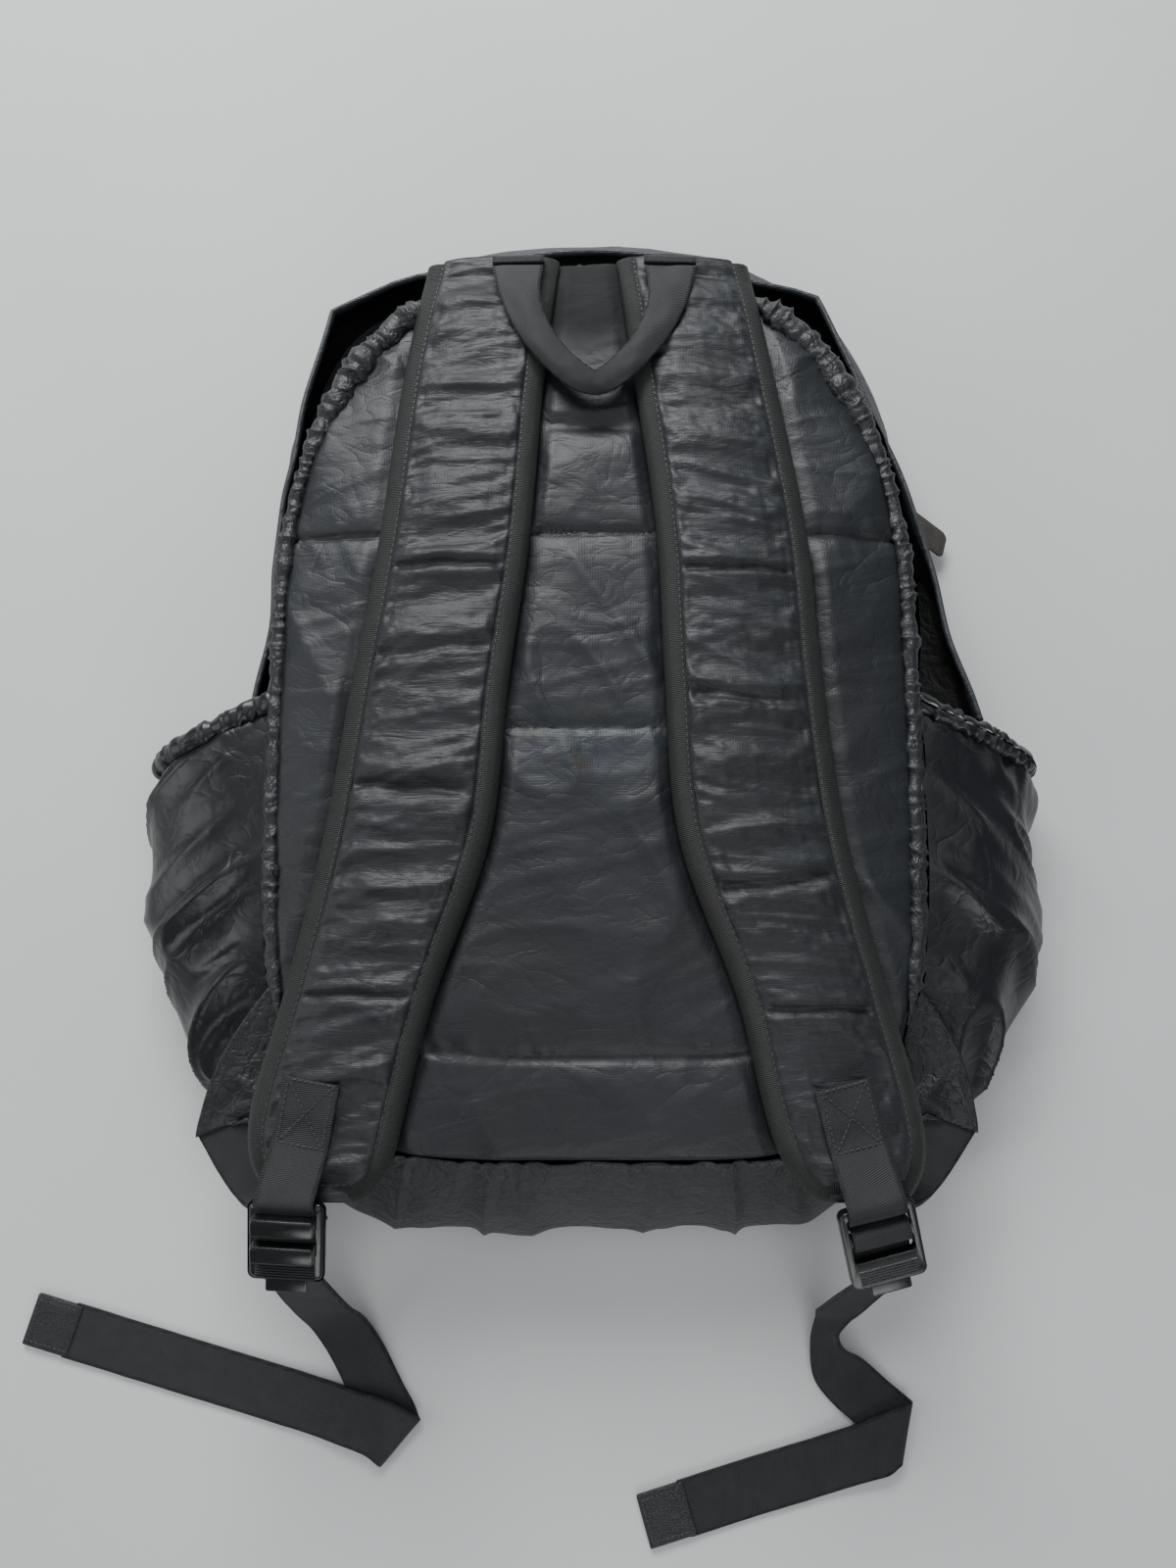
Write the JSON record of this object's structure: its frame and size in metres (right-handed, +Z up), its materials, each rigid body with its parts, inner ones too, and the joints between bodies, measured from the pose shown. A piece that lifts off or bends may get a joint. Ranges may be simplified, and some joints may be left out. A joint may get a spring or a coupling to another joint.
{
  "type": "daypack",
  "caption": "Nylon daypack lying on its front: padded shoulder straps, ladder-lock buckles with webbing tails, grab handle, two side pockets and a zipped front panel.",
  "frame": {"origin": "on the floor under the bag, in the middle of the lower front panel's flat outer face", "axes": "+X to the right as the harness is looked at, +Y to the top of the bag, +Z up out of the back panel"},
  "size_m": [0.4955, 0.6452, 0.1048],
  "materials": {
    "nylon": "satin coated charcoal nylon",
    "taffeta": "smooth black nylon taffeta",
    "coated": "grey coated nylon, stiffened",
    "lining": "thin black lining",
    "grosgrain": "ribbed dark olive-grey grosgrain tape",
    "webbing": "matt dark grey twill webbing",
    "foam": "padding sewn inside",
    "acetal": "glossy black moulded acetal",
    "leather": "smooth black leather",
    "grey_leather": "smooth taupe leather",
    "zip": "black zip tape and nylon coil",
    "metal": "dark coated metal"
  },
  "bodies": {
    "bag": {"anchor_wing_left": "nylon", "anchor_wing_right": "nylon", "arch_lining": "lining", "back_edge_left": "nylon", "back_edge_right": "nylon", "back_foam": "foam", "back_lining": "lining", "back_panel": "nylon", "bottom_panel": "nylon", "front_panel_lower": "nylon", "front_rim": "coated", "handle_end_left": "webbing", "handle_end_right": "webbing", "pocket_elastic_left": "taffeta", "pocket_elastic_right": "taffeta", "pouch_lining": "lining", "rolled_tube_right": "coated", "side_panel_left": "nylon", "side_panel_right": "nylon", "side_pocket_left": "taffeta", "side_pocket_right": "taffeta", "strap_top_left": "nylon", "strap_top_right": "nylon", "top_gusset": "nylon", "zip_chain": "zip", "zip_tape_bag": "zip"},
    "buckle_left": {"buckle_webbing_left": "webbing", "ladder_lock_left": "acetal"},
    "buckle_right": {"buckle_webbing_right": "webbing", "ladder_lock_right": "acetal"},
    "opening_panel": {"front_gusset": "nylon", "front_panel_upper": "nylon", "panel_lining": "lining", "zip_tape_panel": "zip"},
    "handle": {"grab_handle": "webbing"},
    "strap_left": {"strap_backing_left": "lining", "strap_binding_left": "grosgrain", "strap_cover_left": "nylon", "strap_foam_left": "foam", "strap_webbing_left": "webbing"},
    "strap_right": {"strap_backing_right": "lining", "strap_binding_right": "grosgrain", "strap_cover_right": "nylon", "strap_foam_right": "foam", "strap_webbing_right": "webbing"},
    "tail_left": {"tail_tab_left": "leather", "tail_webbing_left": "webbing"},
    "tail_right": {"tail_tab_right": "leather", "tail_webbing_right": "webbing"},
    "webbing_run_left": {"webbing_run_left": "webbing"},
    "webbing_run_right": {"webbing_run_right": "webbing"},
    "zip_pull": {"zip_pull": "grey_leather", "zip_pull_link": "metal"},
    "zip_slider": {"zip_slider": "metal"}
  },
  "joints": [
    {"name": "opening_panel_fold", "type": "hinge", "parent": "bag", "child": "opening_panel", "pos_m": [0, 0.1, 0], "axis": [-1, 0, 0], "range_deg": [0, 100]},
    {"name": "zip_slider_travel", "type": "slide", "parent": "bag", "child": "zip_slider", "axis": [-0.011, 0.9999, 0], "range_m": [-0.07, 0.035]},
    {"name": "zip_pull_swing", "type": "hinge", "parent": "zip_slider", "child": "zip_pull", "pos_m": [0.16261, 0.222, 0.016], "axis": [0, 0, 1], "range_deg": [-35, 60]},
    {"name": "grab_handle_lift", "type": "hinge", "parent": "bag", "child": "handle", "pos_m": [0, 0.327, 0.09345], "axis": [-1, 0, 0], "range_deg": [0, 150]},
    {"name": "strap_left_lift", "type": "hinge", "parent": "bag", "child": "strap_left", "pos_m": [-0.05911, 0.25, 0.10051], "axis": [-1, 0, 0], "range_deg": [0, 35]},
    {"name": "buckle_left_lift", "type": "hinge", "parent": "strap_left", "child": "buckle_left", "pos_m": [-0.13, -0.115, 0.089], "axis": [-0.9986, 0.0523, 0], "range_deg": [0, 40]},
    {"name": "tail_left_lift", "type": "hinge", "parent": "buckle_left", "child": "tail_left", "pos_m": [-0.13152, -0.14761, 0.07208], "axis": [-0.9986, 0.0523, 0], "range_deg": [0, 40]},
    {"name": "webbing_run_left_lift", "type": "hinge", "parent": "bag", "child": "webbing_run_left", "pos_m": [-0.172, -0.086, 0.05], "axis": [-0.6397, -0.7686, 0], "range_deg": [0, 56]},
    {"name": "strap_right_lift", "type": "hinge", "parent": "bag", "child": "strap_right", "pos_m": [0.05465, 0.25, 0.10065], "axis": [-1, 0, 0], "range_deg": [0, 35]},
    {"name": "buckle_right_lift", "type": "hinge", "parent": "strap_right", "child": "buckle_right", "pos_m": [0.118, -0.116, 0.089], "axis": [-0.9703, -0.2419, 0], "range_deg": [0, 40]},
    {"name": "tail_right_lift", "type": "hinge", "parent": "buckle_right", "child": "tail_right", "pos_m": [0.1252, -0.14777, 0.07217], "axis": [-0.9703, -0.2419, 0], "range_deg": [0, 40]},
    {"name": "webbing_run_right_lift", "type": "hinge", "parent": "bag", "child": "webbing_run_right", "pos_m": [0.165, -0.084, 0.05], "axis": [-0.6413, 0.7673, 0], "range_deg": [0, 56]}
  ],
  "couplings": [
    {"joint": "webbing_run_left_lift", "follows": "strap_left_lift", "ratio": 1.6},
    {"joint": "webbing_run_right_lift", "follows": "strap_right_lift", "ratio": 1.6}
  ]
}
